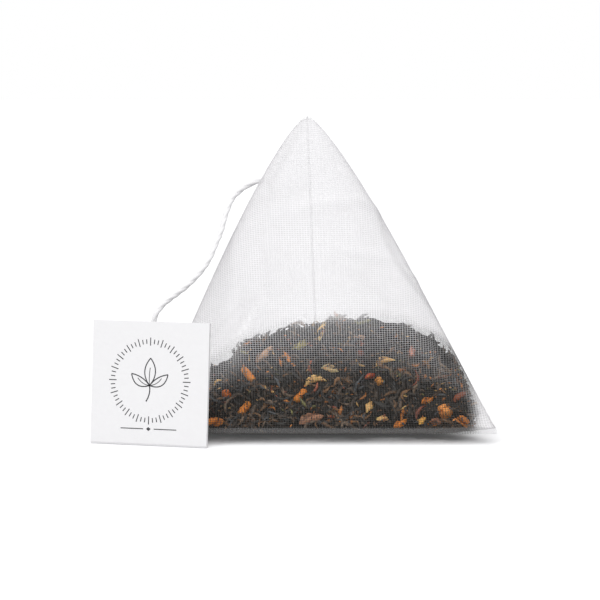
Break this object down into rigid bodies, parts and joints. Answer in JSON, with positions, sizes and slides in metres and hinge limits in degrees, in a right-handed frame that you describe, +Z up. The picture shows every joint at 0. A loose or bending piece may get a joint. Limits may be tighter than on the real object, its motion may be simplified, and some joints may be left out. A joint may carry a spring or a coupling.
{
  "type": "tea bag",
  "caption": "Pyramid tea bag of see-through woven mesh holding loose black leaf tea, with a thread from its left fold to a square folded card tag",
  "frame": {"origin": "on the floor, under the middle of the part's box without its thread and tag", "axes": "+Z up; -Y is the bag's front, the side of its level seal, and the level seal runs along X; the bag's other seal stands upright at +Y"},
  "size_m": [0.0714, 0.0783, 0.0574],
  "materials": {
    "woven_mesh": "fine see-through white woven mesh",
    "black_tea": "dry black tea leaf",
    "white_card": "smooth uncoated white card",
    "white_thread": "twisted white cotton thread",
    "orange_stalk": "dry orange-brown stalk",
    "golden_tip": "downy golden leaf tip",
    "red_leaf": "red-brown leaf",
    "pale_leaf": "pale brown rolled leaf",
    "green_leaf": "olive rolled leaf"
  },
  "bodies": {
    "root": {"mesh_bag": "woven_mesh", "tea_fill": "black_tea", "tag": "white_card", "thread": "white_thread", "stalk_long": "orange_stalk", "stalk_left": "orange_stalk", "stalk_low_left": "orange_stalk", "stalk_middle": "orange_stalk", "stalk_low_right": "orange_stalk", "stalk_right": "orange_stalk", "stalk_pink": "pale_leaf", "stalk_edge": "orange_stalk", "golden_tip_long": "golden_tip", "golden_tip_upper": "golden_tip", "golden_tip_top": "golden_tip", "golden_tip_arc": "golden_tip", "golden_tip_right": "golden_tip", "golden_tip_low": "golden_tip", "golden_tip_small": "golden_tip", "rolled_leaf_green": "green_leaf", "rolled_leaf_brown": "pale_leaf", "rolled_leaf_pink": "pale_leaf", "rolled_leaf_tan": "pale_leaf", "red_bud": "red_leaf", "red_tip": "red_leaf", "orange_bud": "orange_stalk", "orange_rosette": "orange_stalk", "red_leaf": "red_leaf", "red_leaf_low": "red_leaf", "black_leaf_left": "black_tea", "black_leaf_middle": "black_tea", "black_leaf_right": "black_tea", "black_leaf_low": "black_tea", "black_leaf_top": "black_tea"}
  },
  "joints": []
}
